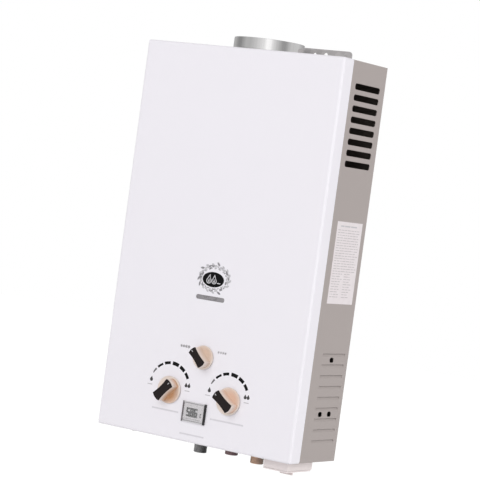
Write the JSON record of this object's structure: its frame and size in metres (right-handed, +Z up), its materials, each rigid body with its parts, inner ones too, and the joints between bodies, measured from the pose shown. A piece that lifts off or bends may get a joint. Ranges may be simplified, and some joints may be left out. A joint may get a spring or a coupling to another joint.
{
  "type": "gas water heater",
  "caption": "Wall-hung flue-type gas water heater with a white front cover, grey vented chassis, rotary knobs, small display, top flue collar, pipe stubs and a battery box.",
  "frame": {"origin": "middle of the two wall screw holes of the hanging bracket, on the wall plane", "axes": "+Z up, +Y into the wall so the front faces -Y, +X to the right seen from the front"},
  "size_m": [0.36, 0.1595, 0.6529],
  "materials": {
    "white_paint": "smooth gloss powder coat",
    "grey_paint": "satin powder coat",
    "zinc_sheet": "galvanised sheet",
    "stainless": "rolled stainless sheet",
    "rubber": "moulded rubber",
    "screw_steel": "zinc-plated steel",
    "copper": null,
    "brass": "machined brass",
    "die_cast": "die-cast aluminium",
    "burner_steel": "pressed burner sheet",
    "ceramic": "white electrode ceramic",
    "black_plastic": "moulded black plastic",
    "gold_plastic": "champagne metallised plastic",
    "spring_steel": "bright steel",
    "dark_steel": "dark plated steel",
    "display_glass": "clear display window",
    "board": "circuit board",
    "mica": "grey sight glass",
    "badge_plastic": "plain two-tone medallion",
    "label": "blank printed film",
    "white_plastic": "moulded off-white plastic",
    "cell_can": "plain cell jacket"
  },
  "bodies": {
    "case": {"front_cover": "white_paint", "rear_chassis": "grey_paint", "top_plate": "grey_paint", "bottom_plate": "grey_paint", "wall_bracket": "zinc_sheet", "rear_bumpers": "rubber", "case_screws": "screw_steel", "flue_collar": "stainless", "draft_hood": "zinc_sheet", "exchanger_jacket": "copper", "exchanger_fins": "copper", "exchanger_tubes": "copper", "cold_pipe": "copper", "hot_pipe": "copper", "burner_tray": "zinc_sheet", "burner_bars": "burner_steel", "gas_manifold": "die_cast", "gas_jets": "brass", "gas_feed_pipe": "die_cast", "electrodes": "ceramic", "overheat_switch": "black_plastic", "igniter_box": "black_plastic", "gas_valve_body": "die_cast", "spindle_glands": "brass", "poppet_spring": "spring_steel", "diaphragm": "rubber", "chamber_cover": "brass", "chamber_screws": "screw_steel", "water_valve_body": "brass", "micro_switch": "black_plastic", "solenoid": "black_plastic", "season_valve_body": "die_cast", "gas_inlet": "dark_steel", "cold_inlet": "brass", "hot_outlet": "copper", "inlet_strainer": "spring_steel", "lock_nuts": "brass", "display_bezel": "black_plastic", "display_window": "display_glass", "display_board": "board", "flame_window": "mica", "badge": "badge_plastic", "rating_plate": "label", "battery_box": "white_plastic", "battery_pin": "spring_steel", "battery_cells": "cell_can"},
    "gas_knob": {"gas_knob_disc": "gold_plastic", "gas_knob_grip": "black_plastic", "gas_spindle": "brass"},
    "water_knob": {"water_knob_disc": "gold_plastic", "water_knob_grip": "black_plastic", "water_spindle": "brass"},
    "season_knob": {"season_knob_disc": "gold_plastic", "season_knob_grip": "black_plastic", "season_spindle": "brass"},
    "battery_lid": {"battery_door": "white_plastic"},
    "valve_rod": {"push_rod": "spring_steel", "gas_poppet": "rubber"},
    "switch_arm": {"switch_lever": "spring_steel"},
    "gas_core": {"solenoid_core": "spring_steel"}
  },
  "joints": [
    {"name": "gas_knob_turn", "type": "hinge", "parent": "case", "child": "gas_knob", "pos_m": [-0.0515, -0.139, -0.5465], "axis": [0, 1, 0], "range_deg": [-121, 37]},
    {"name": "water_knob_turn", "type": "hinge", "parent": "case", "child": "water_knob", "pos_m": [0.0585, -0.139, -0.5465], "axis": [0, 1, 0], "range_deg": [-25, 133]},
    {"name": "season_knob_turn", "type": "hinge", "parent": "case", "child": "season_knob", "pos_m": [0.0028, -0.139, -0.488], "axis": [0, 1, 0], "range_deg": [0, 90]},
    {"name": "battery_door_turn", "type": "hinge", "parent": "case", "child": "battery_lid", "pos_m": [0.13875, -0.0406, -0.6366], "axis": [1, 0, 0], "range_deg": [0, 100]},
    {"name": "valve_rod_slide", "type": "slide", "parent": "case", "child": "valve_rod", "axis": [-1, 0, 0], "range_m": [0, 0.005], "stiffness_N_per_m": 400, "springref_m": -0.005, "deforming": ["poppet_spring"]},
    {"name": "switch_lever_turn", "type": "hinge", "parent": "case", "child": "switch_arm", "pos_m": [-0.019, -0.059, -0.5319], "axis": [0, -1, 0], "range_deg": [0, 18.2]},
    {"name": "solenoid_core_slide", "type": "slide", "parent": "case", "child": "gas_core", "axis": [-1, 0, 0], "range_m": [0, 0.003], "stiffness_N_per_m": 300, "springref_m": -0.003}
  ],
  "couplings": [
    {"joint": "switch_lever_turn", "follows": "valve_rod_slide", "rad_per_m": 62.832}
  ]
}
